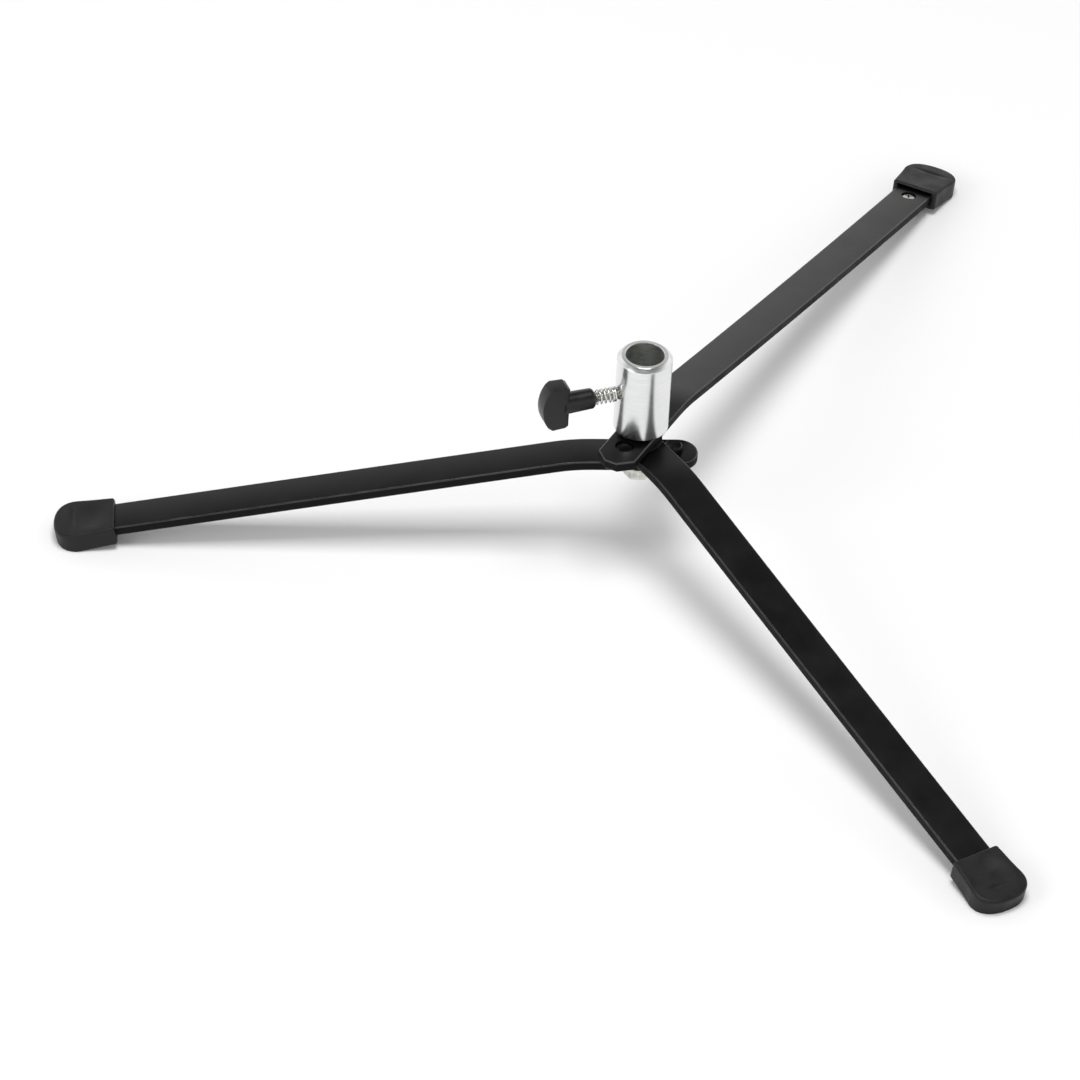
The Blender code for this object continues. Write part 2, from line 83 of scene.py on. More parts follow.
# %% Camera
AIM = Vector((-0.01853, 0.03503, -0.07535))
AZIMUTH, ELEVATION, ROLL = math.radians(-64.369), math.radians(38.249), math.radians(3.116)
DISTANCE = 2.6596
LENS_MM, SENSOR_MM = 207.87, 36.0
FAR_CLIP = 50.0              # beyond the far edge of the floor

back = Vector((math.sin(AZIMUTH) * math.cos(ELEVATION), -math.cos(AZIMUTH) * math.cos(ELEVATION),
               math.sin(ELEVATION)))
right = Vector((math.cos(AZIMUTH), math.sin(AZIMUTH), 0.0))
camera_axes = Matrix((right, back.cross(right), back)).transposed().to_4x4()
camera = bpy.data.objects.new("camera", bpy.data.cameras.new("camera"))
camera.data.lens = LENS_MM
camera.data.sensor_width = SENSOR_MM
camera.data.clip_end = FAR_CLIP
camera.matrix_world = Matrix.Translation(AIM + back * DISTANCE) @ camera_axes @ Matrix.Rotation(ROLL, 4, "Z")
bpy.context.collection.objects.link(camera)
bpy.context.scene.camera = camera
print("camera at", [round(v, 3) for v in camera.matrix_world.translation])

# %% [markdown]
# A finish is a small tree of nodes. The colours come from sRGB hex values, which one function turns linear,
# and one function adds a node with its settings and its links, so that each finish reads as a short list.

# %% Helpers for colours and nodes
def linear(hex_colour):
    """Turn an sRGB hex colour into linear red, green, blue and alpha."""
    channels = [int(hex_colour[i:i + 2], 16) / 255 for i in (1, 3, 5)]
    return tuple(c / 12.92 if c <= 0.04045 else ((c + 0.055) / 1.055) ** 2.4 for c in channels) + (1.0,)


def add_node(tree, kind, settings, feeds):
    """Add a node; settings are its properties, feeds give each input a value or another node's output."""
    node = tree.nodes.new(kind)
    for name, value in settings.items():
        setattr(node, name, value)
    for name, value in feeds.items():
        if isinstance(value, bpy.types.NodeSocket):
            tree.links.new(value, node.inputs[name])
        else:
            node.inputs[name].default_value = value
    return node


MM = 0.001                   # the frame is in metres
print("mid grey is", round(linear("#808080")[0], 3), "in linear light")

# %% [markdown]
# The floor is one flat sheet of pale matt paper, and the light is soft: a bright low surround with a dimmer
# top, one large panel overhead and one at the left. Small hard lamps would give the bars sharp streaks. The
# dim top keeps upward faces that lean toward the viewer black, while faces that lean away catch the bright
# surround.

# %% Floor
FLOOR_HALF = 8.0             # metres from the middle to an edge
floor_paper = bpy.data.materials.new("matt_studio_paper")
floor_paper.use_nodes = True
floor_shader = floor_paper.node_tree.nodes["Principled BSDF"]
floor_shader.inputs["Base Color"].default_value = linear("#f6f6f6")
floor_shader.inputs["Roughness"].default_value = 0.9
floor_shader.inputs["Specular IOR Level"].default_value = 0.1
floor_mesh = bpy.data.meshes.new("studio_floor")
bm = bmesh.new()
bmesh.ops.create_grid(bm, x_segments=1, y_segments=1, size=FLOOR_HALF)
bmesh.ops.translate(bm, verts=bm.verts, vec=(0.0, 0.0, FLOOR_Z))
bm.to_mesh(floor_mesh)
bm.free()
floor_mesh.materials.append(floor_paper)
floor = bpy.data.objects.new("studio_floor", floor_mesh)
bpy.context.collection.objects.link(floor)
print("floor of", 2 * FLOOR_HALF, "m at", round(FLOOR_Z, 4), "m")

# %% Surround
SURROUND_LOW, SURROUND_HIGH = 1.05, 0.16    # brightness at the horizon and overhead
FADE_LOW, FADE_HIGH = 0.38, 0.80            # heights on a sky of radius 1 between which it dims
world = bpy.data.worlds.new("soft_surround")
world.use_nodes = True
bpy.context.scene.world = world
sky = world.node_tree
direction = add_node(sky, "ShaderNodeTexCoord", {}, {})
height = add_node(sky, "ShaderNodeSeparateXYZ", {}, {0: direction.outputs["Generated"]})
fade = add_node(sky, "ShaderNodeMapRange", {"interpolation_type": "SMOOTHSTEP"},
                {"Value": height.outputs["Z"], "From Min": FADE_LOW, "From Max": FADE_HIGH,
                 "To Min": SURROUND_LOW, "To Max": SURROUND_HIGH})
sky.links.new(fade.outputs["Result"], sky.nodes["Background"].inputs["Strength"])
sky.nodes["Background"].inputs["Color"].default_value = linear("#ffffff")
print("surround from", SURROUND_HIGH, "overhead to", SURROUND_LOW, "at the horizon")


# %% Light panels
def soft_panel(name, place, size, watts):
    """A square area light that looks at the stand."""
    panel = bpy.data.lights.new(name, "AREA")
    panel.size = size
    panel.energy = watts
    made = bpy.data.objects.new(name, panel)
    made.location = place
    made.rotation_euler = (-Vector(place)).to_track_quat("-Z", "Y").to_euler()
    bpy.context.collection.objects.link(made)
    print(name, "of", size, "m and", watts, "W")


soft_panel("overhead_panel", (-0.25, -0.15, 2.6), 1.3, 46.0)
soft_panel("left_panel", (-1.6, 0.9, 1.0), 0.9, 7.0)
bpy.context.scene.view_settings.view_transform = "Standard"

# %% [markdown]
# Every finish here has the same bones: a colour that wanders a little between two close tones, a roughness
# that wanders with it, and a fine bump. What differs is the size of each pattern, worked out in millimetres
# from how the surface was made. Painted images would need every piece unwrapped flat, so all of the patterns
# are noise on Object coordinates, which stay fixed to the piece.

# %% The shared bones of a finish
PATCH_LOW, PATCH_HIGH = 0.35, 0.65          # noise levels between which one tone turns into the other
PATCH_DETAIL, GRAIN_DETAIL = 4.0, 2.0
USUAL_SPECULAR = 0.5                        # the shader's own level, which the metals keep


def finish_of(name, tones, metallic, roughness, patch_mm, grain_mm, bump_mm, stretch=(1.0, 1.0, 1.0),
              specular=USUAL_SPECULAR):
    """Make a finish: two tones and two roughnesses in patches, and a grain of the given size and height."""
    made = bpy.data.materials.new(name)
    made.use_nodes = True
    tree = made.node_tree
    shader = tree.nodes["Principled BSDF"]
    shader.inputs["Metallic"].default_value = metallic
    shader.inputs["Specular IOR Level"].default_value = specular
    place = add_node(tree, "ShaderNodeTexCoord", {}, {})
    drawn = add_node(tree, "ShaderNodeMapping", {}, {"Vector": place.outputs["Object"], "Scale": stretch})
    patches = add_node(tree, "ShaderNodeTexNoise", {},
                       {"Vector": drawn.outputs["Vector"], "Scale": 1.0 / (patch_mm * MM),
                        "Detail": PATCH_DETAIL})
    grain = add_node(tree, "ShaderNodeTexNoise", {},
                     {"Vector": drawn.outputs["Vector"], "Scale": 1.0 / (grain_mm * MM),
                      "Detail": GRAIN_DETAIL})
    blend = add_node(tree, "ShaderNodeMapRange", {},
                     {"Value": patches.outputs["Fac"], "From Min": PATCH_LOW, "From Max": PATCH_HIGH})
    # Several inputs of the Mix node share a name, so it is fed by number: 0 the factor, 6 and 7 the colours.
    tone = add_node(tree, "ShaderNodeMix", {"data_type": "RGBA"},
                    {0: blend.outputs["Result"], 6: linear(tones[0]), 7: linear(tones[1])})
    gloss = add_node(tree, "ShaderNodeMapRange", {},
                     {"Value": patches.outputs["Fac"], "From Min": PATCH_LOW, "From Max": PATCH_HIGH,
                      "To Min": roughness[0], "To Max": roughness[1]})
    relief = add_node(tree, "ShaderNodeBump", {},
                      {"Height": grain.outputs["Fac"], "Strength": 1.0, "Distance": bump_mm * MM})
    tree.links.new(tone.outputs[2], shader.inputs["Base Color"])
    tree.links.new(gloss.outputs["Result"], shader.inputs["Roughness"])
    tree.links.new(relief.outputs["Normal"], shader.inputs["Normal"])
    return made


print("tones turn between noise levels", PATCH_LOW, "and", PATCH_HIGH)

# %% [markdown]
# The bars are mild steel with a baked black powder coat. The powder melts into a skin with a slight orange
# peel, about a millimetre from crest to crest, so reflections of the surround spread into a soft satin.

# %% Powder coat on the bars
# Orange peel of about 0.9 mm, a few microns high; the eye gets a soft, faintly alive black.
powder_coat = finish_of("powder_coated_steel", ("#060606", "#0a0a0a"), 0.0, (0.27, 0.34), 14.0, 0.9, 0.010,
                        specular=0.27)
# The sheared sides of the bar are rougher under the powder, so they stay nearly black beside the faces.
sheared_side = finish_of("powder_coat_on_sheared_side", ("#060606", "#0b0b0c"), 0.0, (0.55, 0.70), 6.0, 0.6,
                         0.020, specular=0.12)
# The rounded edges are smoother, and painted a shade lighter as a highlight, so each draws a thin bright line.
painted_highlight_edge = finish_of("powder_coat_rubbed_edge", ("#0e0e0e", "#1b1b1b"), 0.0, (0.22, 0.34), 9.0, 0.9, 0.006,
                        specular=0.60)
print("made", powder_coat.name + ",", sheared_side.name, "and", painted_highlight_edge.name)

# %% [markdown]
# The socket is turned from aluminium bar and polished. Turning leaves fine rings round the axis, so the
# pattern is squeezed along Z: what is left of each ring is a line 0.25 mm high, drawn coarser than the real
# tool marks of under 0.1 mm, so that a render can hold it. The bore keeps rougher marks from the drill.

# %% Polished aluminium on the socket
# Mirror-like with faint rings; the eye gets the legs and floor reflected as slightly smeared upright bands.
turned_aluminium = finish_of("turned_polished_aluminium", ("#dcdddd", "#ebebeb"), 1.0, (0.18, 0.26), 9.0, 6.0,
                             0.012, stretch=(1.0, 1.0, 24.0))
bored_aluminium = finish_of("bored_aluminium", ("#b2b4b0", "#dadbd8"), 1.0, (0.34, 0.52), 3.0, 5.0, 0.03,
                            stretch=(1.0, 1.0, 12.0))
print("made", turned_aluminium.name, "and", bored_aluminium.name)

# %% [markdown]
# The bolt, its washer and the foot screws are steel with bright zinc plating, which dries a little cloudy.
# The spring is drawn wire, so its own pattern is finer and shinier.

# %% Zinc and spring wire
# Cloudy pale grey with a soft shine, in patches of 2 mm.
zinc_plate = finish_of("bright_zinc_plated_steel", ("#b3b4ae", "#d6d6d0"), 1.0, (0.22, 0.38), 2.0, 0.4, 0.006)
# Drawn wire: nearly white where it faces the light, with fine die lines.
drawn_wire = finish_of("drawn_spring_steel", ("#c9c9c6", "#e6e6e3"), 1.0, (0.14, 0.26), 1.5, 0.25, 0.004)
print("made", zinc_plate.name, "and", drawn_wire.name)

# %% [markdown]
# The foot caps are moulded black rubber. The mould is blasted, which gives the rubber a dull grain, and the
# rubber gathers pale dust. The dust is a second, sparse noise that lightens the tone only at its peaks.

# %% Rubber of the foot caps
# The eye gets a dull black, a little greyer where the grain catches the light.
moulded_rubber = finish_of("moulded_black_rubber", ("#070708", "#101011"), 0.0, (0.40, 0.56), 6.0, 0.5, 0.020,
                           specular=0.32)
print("made", moulded_rubber.name)

# %% Dust
DUST_EDGE = 0.05                            # how much more noise takes a speck from its rim to full strength


def dust_on(finish, speck_mm, rarity, share, tone):
    """Lighten a finish in sparse specks: rarity is the noise level above which dust shows.

    Share is how far a full speck goes from the bare colour to the dust's tone.
    """
    tree = finish.node_tree
    shader = tree.nodes["Principled BSDF"]
    bare = shader.inputs["Base Color"].links[0].from_socket
    place = add_node(tree, "ShaderNodeTexCoord", {}, {})
    specks = add_node(tree, "ShaderNodeTexNoise", {},
                      {"Vector": place.outputs["Object"], "Scale": 1.0 / (speck_mm * MM), "Detail": 1.0})
    dusted = add_node(tree, "ShaderNodeMapRange", {},
                      {"Value": specks.outputs["Fac"], "From Min": rarity, "From Max": rarity + DUST_EDGE,
                       "To Max": share})
    dusty = add_node(tree, "ShaderNodeMix", {"data_type": "RGBA"},
                     {0: dusted.outputs["Result"], 6: bare, 7: linear(tone)})
    tree.links.new(dusty.outputs[2], shader.inputs["Base Color"])


# Specks of about 0.9 mm on the rubber, and fewer, finer ones on the bars' coat.
dust_on(moulded_rubber, 0.9, 0.76, 0.30, "#77777a")
dust_on(powder_coat, 0.7, 0.80, 0.45, "#8a8a8a")
print("dusted", moulded_rubber.name, "and", powder_coat.name)

# %% [markdown]
# The thumb knob is moulded glass-filled nylon, black and slightly grainy, and the thin washers between the
# bars are plain nylon. Glass fibre near the skin makes the highlight on the sleeve sparkle a little.

# %% Knob and washer plastic
# Grain of 0.35 mm, 8 microns high: the eye gets a broken, sparkling highlight.
knob_nylon = finish_of("glass_filled_nylon", ("#080809", "#0f0f10"), 0.0, (0.28, 0.40), 3.0, 0.35, 0.008,
                       specular=0.38)
# Smooth dull washers, 1 mm grain.
washer_nylon = finish_of("plain_black_nylon", ("#0a0a0a", "#101010"), 0.0, (0.45, 0.60), 4.0, 1.0, 0.003)
print("made", knob_nylon.name, "and", washer_nylon.name)

# %% [markdown]
# Each finer piece stands for one CAD node. It rides on the node's own body and hides
# it. The bodies come from the imported record, so a piece can't be put on the wrong one.

# %% Put a finished piece in place
record_bodies = frame["record"]["behaviour"]["bodies"]
body_of = {node: body for body, nodes in record_bodies.items() for node in nodes}


def finished_piece(name, bm, finish, node, smooth_deg, cutters=(), rides=True):
    """Write a bmesh to an object, cut it, shade it smooth up to an angle, and stand it in for its node.

    A piece that rides on no body is made with rides=False.
    """
    bmesh.ops.recalc_face_normals(bm, faces=bm.faces)
    mesh = bpy.data.meshes.new(name)
    bm.to_mesh(mesh)
    bm.free()
    made = bpy.data.objects.new(name, mesh)
    bpy.context.collection.objects.link(made)
    for tool, operation in cutters:
        tool_mesh = bpy.data.meshes.new("tool")
        bmesh.ops.recalc_face_normals(tool, faces=tool.faces)
        tool.to_mesh(tool_mesh)
        tool.free()
        tool_object = bpy.data.objects.new("tool", tool_mesh)
        bpy.context.collection.objects.link(tool_object)
        boolean = made.modifiers.new("cut", "BOOLEAN")
        boolean.operation = operation
        boolean.solver = "EXACT"
        boolean.object = tool_object
        result = bpy.data.meshes.new_from_object(made.evaluated_get(bpy.context.evaluated_depsgraph_get()))
        made.modifiers.clear()
        made.data = result
        bpy.data.objects.remove(tool_object, do_unlink=True)
    made.data.name = name
    made.data.materials.clear()
    made.data.materials.append(finish)
    made.data.shade_smooth()
    made.data.set_sharp_from_angle(angle=math.radians(smooth_deg))
    if rides:
        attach(made, body_of[node])
    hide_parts(node)
    print(name, "stands for", node, "on", body_of[node], "with", len(made.data.polygons), "faces")
    return made


# %% [markdown]
# All the turned parts come from one move: a profile of radius and height is spun round Z. Where a flat meets
# a round, the profile has one more point close by, so smooth shading stays flat on the flats.

# %% Spin a profile
ROUND_STEPS, SMALL_STEPS = 96, 64           # flats round a large piece and round a small one


def turned(profile, steps=ROUND_STEPS):
    """Spin (radius, z) points round Z and close the poles."""
    bm = bmesh.new()
    points = [bm.verts.new((radius, 0.0, z)) for radius, z in profile]
    edges = [bm.edges.new(pair) for pair in zip(points, points[1:])]
    bmesh.ops.spin(bm, geom=points + edges, cent=(0.0, 0.0, 0.0), axis=(0.0, 0.0, 1.0), dvec=(0.0, 0.0, 0.0),
                   angle=2 * math.pi, steps=steps, use_merge=True, use_duplicate=False)
    bmesh.ops.remove_doubles(bm, verts=bm.verts, dist=1e-7)
    return bm


def rounding(centre, radius, start_deg, end_deg, steps):
    """Points of an arc in the profile plane, both ends included."""
    angles = [math.radians(start_deg + (end_deg - start_deg) * i / steps) for i in range(steps + 1)]
    return [(centre[0] + radius * math.cos(a), centre[1] + radius * math.sin(a)) for a in angles]


def plain_rod(radius, low, high, steps=SMALL_STEPS):
    """A capped rod on Z between two heights."""
    bm = bmesh.new()
    bmesh.ops.create_cone(bm, cap_ends=True, segments=steps, radius1=radius, radius2=radius, depth=high - low)
    bmesh.ops.translate(bm, verts=bm.verts, vec=(0.0, 0.0, (low + high) / 2))
    return bm


print("a turned piece has", ROUND_STEPS, "steps round,", 360 / ROUND_STEPS, "degrees each")

# %% [markdown]
# The flat parts come from another: an outline is extruded to a plate, and its square edges are rounded. The
# bevel picks the edges by how far the surface turns there, so no edge has to be found by hand.

# %% Extrude an outline and round its edges
SQUARE_DEG = 60.0                           # an edge that turns the surface by more than this is square
ROUND_SEGMENTS = 6


def plate(outline, thickness):
    """Extrude a closed outline of points by a vector."""
    bm = bmesh.new()
    base = bm.faces.new([bm.verts.new(point) for point in outline])
    lid = bmesh.ops.extrude_face_region(bm, geom=[base])["geom"]
    bmesh.ops.translate(bm, verts=[v for v in lid if isinstance(v, bmesh.types.BMVert)], vec=thickness)
    return bm


def round_edges(bm, over_deg, size):
    """Round every edge that turns the surface by more than an angle."""
    bmesh.ops.recalc_face_normals(bm, faces=bm.faces)
    square = [e for e in bm.edges if e.calc_face_angle() > math.radians(over_deg)]
    bmesh.ops.bevel(bm, geom=square, offset=size, segments=ROUND_SEGMENTS, profile=0.5, affect="EDGES",
                    material=-1, clamp_overlap=True)


print("a rounded edge has", ROUND_SEGMENTS, "facets")

# %% [markdown]
# The socket is one turned part: a blind hole for the bolt below, a straight bright wall, a rounded shoulder,
# a flat ring with a small chamfer, and the bore with ridges left by the drill. A cross hole lets the clamp
# screw in. The ridges are real steps in the wall, since a bump alone would leave the bore's rim smooth.

# %% Socket
socket_low, socket_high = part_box("socket")
WALL_R = (socket_high.x - socket_low.x) / 2
BOTTOM, RIM = socket_low.z, socket_high.z
BORE_R = 8.15 * MM
BOLT_HOLE_R, BOLT_HOLE_TOP = 3.5 * MM, -2.8 * MM
SHOULDER, CORNER = 1.9 * MM, 0.5 * MM
FOOT_CHAMFER, RIM_CHAMFER = 0.4 * MM, 0.2 * MM
FLAT = 0.25 * MM                            # how close a supporting point stands to a round
RIDGE_PITCH, RIDGE_DEPTH, FIRST_RIDGE = 1.0 * MM, 0.06 * MM, 1.5 * MM
SMOOTH_MOUTH = 1.0 * MM                     # plain wall between the rim and the first ridge

profile = [(0.0, BOLT_HOLE_TOP), (BOLT_HOLE_R, BOLT_HOLE_TOP), (BOLT_HOLE_R, BOTTOM),
           (WALL_R - FOOT_CHAMFER, BOTTOM), (WALL_R, BOTTOM + FOOT_CHAMFER),
           (WALL_R, BOTTOM + FOOT_CHAMFER + FLAT), (WALL_R, RIM - SHOULDER - FLAT)]
# The shoulder is a turned chamfer with its two corners polished round, so it shows as a bright ring.
profile += rounding((WALL_R - CORNER, RIM - SHOULDER), CORNER, 0.0, 45.0, 5)
profile += rounding((WALL_R - SHOULDER, RIM - CORNER), CORNER, 45.0, 90.0, 5)
profile += [(WALL_R - SHOULDER - FLAT, RIM), (BORE_R + RIM_CHAMFER + FLAT, RIM), (BORE_R + RIM_CHAMFER, RIM),
            (BORE_R, RIM - RIM_CHAMFER), (BORE_R, RIM - SMOOTH_MOUTH)]
ridge_count = round((RIM - 2 * FIRST_RIDGE) / RIDGE_PITCH)
for ridge in range(ridge_count):
    z = RIM - FIRST_RIDGE - ridge * RIDGE_PITCH
    profile += [(BORE_R + RIDGE_DEPTH, z), (BORE_R, z - RIDGE_PITCH / 2)]
profile += [(BORE_R, 0.0), (0.0, 0.0)]
print("wall radius", round(WALL_R / MM, 2), "mm, bore with", ridge_count, "ridges")

# %% [markdown]
# The clamp screw's parts are all modelled upright on Z. One matrix lays that axis down, turns it to the
# screw's direction and lifts it to the screw's height, so every part of the screw is placed the same way.

# %% Cross hole and the socket's two finishes
PAST = MM                                   # how far a cutter runs past what it cuts
CLAMP_DEG = 138.0
CLAMP_Z = BOTTOM + 19.1 * MM
CROSS_HOLE_R = 2.4 * MM
LIP = 0.6 * MM                              # the bore's mouth stays as bright as the outside down to here
lay_down = Matrix(((0.0, 0.0, 1.0), (0.0, -1.0, 0.0), (1.0, 0.0, 0.0))).to_4x4()
turn_to_screw = Matrix.Rotation(math.radians(CLAMP_DEG), 4, "Z")
clamp_frame = Matrix.Translation((0.0, 0.0, CLAMP_Z)) @ turn_to_screw @ lay_down
cross_drill = plain_rod(CROSS_HOLE_R, BORE_R / 2, WALL_R + 2 * PAST)
bmesh.ops.transform(cross_drill, verts=cross_drill.verts, matrix=clamp_frame)
socket_body = finished_piece("socket_body", turned(profile, 2 * ROUND_STEPS), turned_aluminium,
                             "socket", 32.0, [(cross_drill, "DIFFERENCE")])
socket_body.data.materials.append(bored_aluminium)
for face in socket_body.data.polygons:
    reach = Vector((face.center.x, face.center.y)).length
    if reach < BORE_R + RIM_CHAMFER and -PAST < face.center.z < RIM - LIP:
        face.material_index = 1
print("clamp screw at", CLAMP_DEG, "degrees and", round(CLAMP_Z / MM, 1), "mm above the bore's floor")

# %% [markdown]
# The bars run level over the hub, bend down over 16 mm and then follow a shallow curve to the foot. Their
# height is a short formula, the same one for each bar with its own numbers, so the bars, the screws and the
# caps can all ask it where the steel is.

# %% The bars' numbers
BAR_WIDTH, BAR_THICK, BAR_EDGE = 16.8 * MM, 4.5 * MM, 0.8 * MM
# Lengths are in metres and the angle round the pivot in degrees. Reach is how far out the cap's nose stands,
# height the upper face's above the floor at the hub, slope the fall per metre after the bend, tail the run
# back past the pivot, in_cap the length of bar in the cap, cap_floor the rubber under the bar and room the
# slack over it. Sunk says how far the cap's roof has settled, where 1 is the most.
BARS = {
    "top": {"reach": 0.3098, "height": 0.0591, "slope": 0.208, "angle": 0.0, "tail": 0.0272, "in_cap": 0.0082,
            "cap_floor": 0.0020, "room": 0.0013, "sunk": 0.2},
    "middle": {"reach": 0.2748, "height": 0.0529, "slope": 0.201, "angle": -120.0, "tail": 0.0084,
               "in_cap": 0.0178, "cap_floor": 0.0026, "room": 0.0003, "sunk": 1.0},
    "bottom": {"reach": 0.2464, "height": 0.0472, "slope": 0.190, "angle": 120.0, "tail": 0.0250,
               "in_cap": 0.0178, "cap_floor": 0.0026, "room": 0.0003, "sunk": 0.6},
}
BEND_START, BEND_END = 20 * MM, 36 * MM
GAP = 0.3 * MM                              # clearance between parts that don't grip each other
CAP_LENGTH = 26.2 * MM
SEATED = 17.8 * MM                          # length of bar in a cap that hasn't slipped
SOLE_DEPTH = 0.5 * MM                       # rubber ground off where the cap meets the floor
FOOT_SLOPE = 0.208                          # a bar that ends short of its seat ends higher by this slope


def bar_end(bar):
    """How far out the steel ends."""
    return BARS[bar]["reach"] - CAP_LENGTH + BARS[bar]["in_cap"]


for bar in BARS:
    print(bar, "bar ends", round(bar_end(bar) / MM, 1), "mm out")


# %% The bars' curve
def bar_growth(bar):
    """Change of slope per metre that brings the bar down onto its cap's floor."""
    facts = BARS[bar]
    seated_end = facts["reach"] - CAP_LENGTH + SEATED
    end_height = (seated_end - bar_end(bar)) * FOOT_SLOPE - SOLE_DEPTH + facts["cap_floor"] + GAP + BAR_THICK
    run = bar_end(bar) - BEND_END
    fall = facts["height"] - end_height - facts["slope"] * (BEND_END - BEND_START) / 2
    return 2 * (fall - facts["slope"] * run) / run ** 2


def bar_slope(bar, run):
    """How steeply the bar falls at a distance from the pivot."""
    if run <= BEND_START:
        return 0.0
    if run <= BEND_END:
        return BARS[bar]["slope"] * (run - BEND_START) / (BEND_END - BEND_START)
    return BARS[bar]["slope"] + bar_growth(bar) * (run - BEND_END)


def bar_height(bar, run):
    """Height of the bar's upper face above the floor."""
    height = BARS[bar]["height"]
    if run <= BEND_START:
        return height
    if run <= BEND_END:
        return height - bar_slope(bar, run) * (run - BEND_START) / 2
    beyond = run - BEND_END
    bend_fall = BARS[bar]["slope"] * (BEND_END - BEND_START) / 2
    return height - bend_fall - BARS[bar]["slope"] * beyond - bar_growth(bar) * beyond ** 2 / 2


def bar_frame(bar, run):
    """Frame on the bar's upper face, in the world: X down along the bar, Z out of the face."""
    turn = Matrix.Rotation(math.radians(BARS[bar]["angle"]), 4, "Z")
    tilt = Matrix.Rotation(math.atan(bar_slope(bar, run)), 4, "Y")
    return turn @ Matrix.Translation((run, 0.0, FLOOR_Z + bar_height(bar, run))) @ tilt


for bar in BARS:
    print(bar, "bar ends", round(bar_height(bar, bar_end(bar)) / MM, 1), "mm above the floor")

# %% [markdown]
# A bar is a flat outline given its thickness by one extrude. It is then cut across every 4 mm, each cut is
# lifted onto the curve, and the long edges are rounded, since rolled bar has no sharp corners. The rounding
# has six steps of 15 degrees, above the shading angle, so the wide faces stay truly flat to the light.

# %% Steel of a bar
TAPER_WIDTH, TAPER_LENGTH = 5.5 * MM, 5.0 * MM      # how the top bar's tail narrows on each side
BAR_CUT = 4 * MM                                    # length of bar between two cross cuts


def bar_plan(bar):
    """Plan of the bar from the foot end round its tail."""
    half, tail, end = BAR_WIDTH / 2, BARS[bar]["tail"], bar_end(bar)
    if bar == "top":
        narrow, shoulder = half - TAPER_WIDTH, TAPER_LENGTH - tail
        back_end = [(shoulder, half), (-tail, narrow), (-tail, -narrow), (shoulder, -half)]
    else:
        back_end = rounding((half - tail, 0.0), half, 90.0, 270.0, 32)
    return [(end, -half), (end, half)] + back_end


def steel_bar(bar):
    """The bar's own body with rounded edges, in the world."""
    bm = plate([(x, y, -BAR_THICK) for x, y in bar_plan(bar)], (0.0, 0.0, BAR_THICK))
    cuts = int((bar_end(bar) - BEND_START) / BAR_CUT)
    for step in range(cuts + 1):
        bmesh.ops.bisect_plane(bm, geom=bm.verts[:] + bm.edges[:] + bm.faces[:],
                               plane_co=(BEND_START + step * BAR_CUT, 0.0, 0.0), plane_no=(1.0, 0.0, 0.0))
    turn = Matrix.Rotation(math.radians(BARS[bar]["angle"]), 4, "Z")
    for vert in bm.verts:
        run, across, depth = vert.co.x, vert.co.y, -vert.co.z
        lean = math.atan(bar_slope(bar, run))
        vert.co = turn @ Vector((run - depth * math.sin(lean), across,
                                 FLOOR_Z + bar_height(bar, run) - depth * math.cos(lean)))
    round_edges(bm, SQUARE_DEG, BAR_EDGE)
    return bm


print("the top bar's outline has", len(bar_plan("top")), "corners, the others'", len(bar_plan("middle")))

# %% [markdown]
# Each bar has a hole for the bolt and a stepped one for the screw that holds its cap, and two bars have one
# for a stop pin. The cutters are turned upright and carried to their places, as a drill press would be set.

# %% Holes in a bar
STOP_PITCH, STOP_R = 14.5 * MM, 3.75 * MM
SCREW_FROM_END = 14.2 * MM
SCREW_HEAD_R, SCREW_HEAD_H, SCREW_R = 3.1 * MM, 1.3 * MM, 2.0 * MM


def carry_to_stop(bm, bar):
    """Take a piece made on the pivot's axis to the place of the bar's stop pin."""
    bmesh.ops.translate(bm, verts=bm.verts, vec=(-STOP_PITCH, 0.0, 0.0))
    bmesh.ops.rotate(bm, verts=bm.verts, cent=(0.0, 0.0, 0.0),
                     matrix=Matrix.Rotation(math.radians(BARS[bar]["angle"]), 3, "Z"))


def screw_frame(bar):
    """Frame of the bar's foot screw, on the upper face."""
    return bar_frame(bar, bar_end(bar) - SCREW_FROM_END)


def bar_drills(bar):
    """Tools for the bar's pivot hole, stop hole and the stepped hole for its foot screw."""
    top = FLOOR_Z + BARS[bar]["height"]
    tools = [plain_rod(BOLT_HOLE_R, top - 2 * BAR_THICK, top + PAST)]
    if bar != "middle":
        stop = plain_rod(STOP_R + GAP, top - 2 * BAR_THICK, top + PAST)
        carry_to_stop(stop, bar)
        tools.append(stop)
    seat, through = -SCREW_HEAD_H - 2 * GAP, -BAR_THICK - PAST
    shank_r, head_r = SCREW_R + GAP, SCREW_HEAD_R + GAP
    hole = turned([(0.0, through), (shank_r, through), (shank_r, seat), (head_r, seat), (head_r, PAST),
                   (0.0, PAST)], SMALL_STEPS)
    bmesh.ops.transform(hole, verts=hole.verts, matrix=screw_frame(bar))
    return [(tool, "DIFFERENCE") for tool in tools + [hole]]


print("stop pins", STOP_PITCH / MM, "mm from the pivot, foot screws", SCREW_FROM_END / MM, "from the ends")

# %% Bars
# The upright share of a face's normal tells what it is: a sheared side, a rounded edge or a wide face.
# The rounded edges take the lighter coat, which is a painted highlight.
SIDE_BELOW, EDGE_BELOW = 0.20, 0.93

for bar in BARS:
    made = finished_piece(bar + "_bar", steel_bar(bar), powder_coat, bar + "_leg", 12.0,
                          bar_drills(bar))
    made.data.materials.append(sheared_side)
    made.data.materials.append(painted_highlight_edge)
    for face in made.data.polygons:
        if abs(face.normal.z) < SIDE_BELOW:
            face.material_index = 1
        elif abs(face.normal.z) < EDGE_BELOW:
            face.material_index = 2
